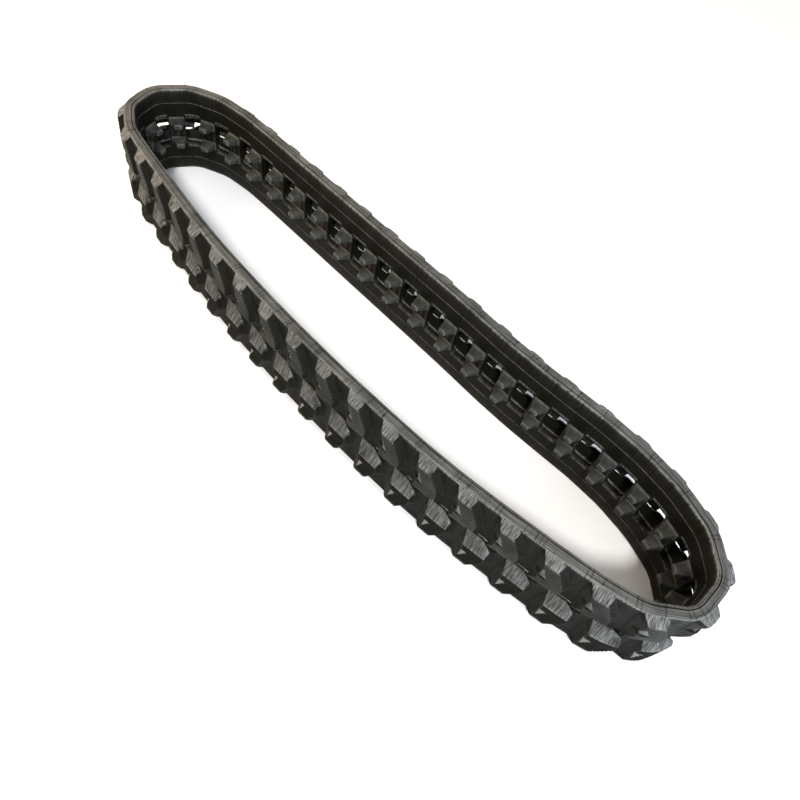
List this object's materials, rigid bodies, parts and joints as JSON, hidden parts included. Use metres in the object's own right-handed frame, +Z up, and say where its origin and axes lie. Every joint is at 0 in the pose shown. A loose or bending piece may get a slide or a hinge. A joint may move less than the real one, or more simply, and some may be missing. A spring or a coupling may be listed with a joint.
{
  "type": "rubber track",
  "caption": "Endless steel-core rubber track for a mini excavator, lying on its side edge, with two rows of guide horns, sprocket windows and a staggered block tread.",
  "frame": {"origin": "middle of the loop's bounding box, on the floor it lies on", "axes": "+X along the long axis of the loop, +Y from the near run to the far run, +Z up across the belt's width"},
  "size_m": [1.4054, 0.3282, 0.18],
  "materials": {
    "rubber": "matt",
    "core_steel": "forged, rubber-filmed",
    "cord_steel": "brassed wire"
  },
  "bodies": {
    "section_1": {"rubber_section_1": "rubber", "cord_ply_1": "cord_steel", "core_01": "core_steel", "core_02": "core_steel", "core_03": "core_steel", "core_04": "core_steel", "core_05": "core_steel"},
    "section_2": {"rubber_section_2": "rubber", "cord_ply_2": "cord_steel", "core_06": "core_steel", "core_07": "core_steel", "core_08": "core_steel", "core_09": "core_steel"},
    "section_3": {"rubber_section_3": "rubber", "cord_ply_3": "cord_steel", "core_10": "core_steel", "core_11": "core_steel", "core_12": "core_steel", "core_13": "core_steel", "core_14": "core_steel"},
    "section_4": {"rubber_section_4": "rubber", "cord_ply_4": "cord_steel", "core_15": "core_steel", "core_16": "core_steel", "core_17": "core_steel", "core_18": "core_steel"},
    "section_5": {"rubber_section_5": "rubber", "cord_ply_5": "cord_steel", "core_19": "core_steel", "core_20": "core_steel", "core_21": "core_steel", "core_22": "core_steel", "core_23": "core_steel"},
    "section_6": {"rubber_section_6": "rubber", "cord_ply_6": "cord_steel", "core_24": "core_steel", "core_25": "core_steel", "core_26": "core_steel", "core_27": "core_steel"},
    "section_7": {"rubber_section_7": "rubber", "cord_ply_7": "cord_steel", "core_28": "core_steel", "core_29": "core_steel", "core_30": "core_steel", "core_31": "core_steel", "core_32": "core_steel"},
    "section_8": {"rubber_section_8": "rubber", "cord_ply_8": "cord_steel", "core_33": "core_steel", "core_34": "core_steel", "core_35": "core_steel", "core_36": "core_steel"},
    "section_9": {"rubber_section_9": "rubber", "cord_ply_9": "cord_steel", "core_37": "core_steel", "core_38": "core_steel", "core_39": "core_steel", "core_40": "core_steel", "core_41": "core_steel"}
  },
  "joints": [
    {"name": "flex_1_2", "type": "hinge", "parent": "section_2", "child": "section_1", "pos_m": [0.35066, 0.1367, 0.09], "axis": [0, 0, 1], "range_deg": [-3.05, 3.05], "stiffness_Nm_per_rad": 12},
    {"name": "flex_2_3", "type": "hinge", "parent": "section_3", "child": "section_2", "pos_m": [0.63188, 0.10052, 0.09], "axis": [0, 0, 1], "range_deg": [-0.58, 0.58], "stiffness_Nm_per_rad": 12},
    {"name": "flex_3_4", "type": "hinge", "parent": "section_4", "child": "section_3", "pos_m": [0.47811, -0.10425, 0.09], "axis": [0, 0, 1], "range_deg": [-2.87, 2.87], "stiffness_Nm_per_rad": 12},
    {"name": "flex_4_5", "type": "hinge", "parent": "section_5", "child": "section_4", "pos_m": [0.19227, -0.1373, 0.09], "axis": [0, 0, 1], "range_deg": [-1.15, 1.15], "stiffness_Nm_per_rad": 12},
    {"name": "flex_5_6", "type": "hinge", "parent": "section_5", "child": "section_6", "pos_m": [-0.16759, -0.13636, 0.09], "axis": [0, 0, 1], "range_deg": [-2.32, 2.32], "stiffness_Nm_per_rad": 12},
    {"name": "flex_6_7", "type": "hinge", "parent": "section_6", "child": "section_7", "pos_m": [-0.4538, -0.10549, 0.09], "axis": [0, 0, 1], "range_deg": [-2.1, 2.1], "stiffness_Nm_per_rad": 12},
    {"name": "flex_7_8", "type": "hinge", "parent": "section_7", "child": "section_8", "pos_m": [-0.64783, 0.08898, 0.09], "axis": [0, 0, 1], "range_deg": [-2.17, 2.17], "stiffness_Nm_per_rad": 12},
    {"name": "flex_8_9", "type": "hinge", "parent": "section_8", "child": "section_9", "pos_m": [-0.36919, 0.13409, 0.09], "axis": [0, 0, 1], "range_deg": [-2.27, 2.27], "stiffness_Nm_per_rad": 12}
  ],
  "couplings": [
    {"joint": "flex_1_2", "follows": "flex_3_4", "ratio": -1.0449},
    {"joint": "flex_2_3", "follows": "flex_3_4", "ratio": 0.18486},
    {"joint": "flex_4_5", "follows": "flex_3_4", "ratio": 0.38383},
    {"joint": "flex_5_6", "follows": "flex_3_4", "ratio": 0.79004},
    {"joint": "flex_6_7", "follows": "flex_3_4", "ratio": 0.71338},
    {"joint": "flex_7_8", "follows": "flex_3_4", "ratio": -0.73842},
    {"joint": "flex_8_9", "follows": "flex_3_4", "ratio": -0.77175}
  ]
}
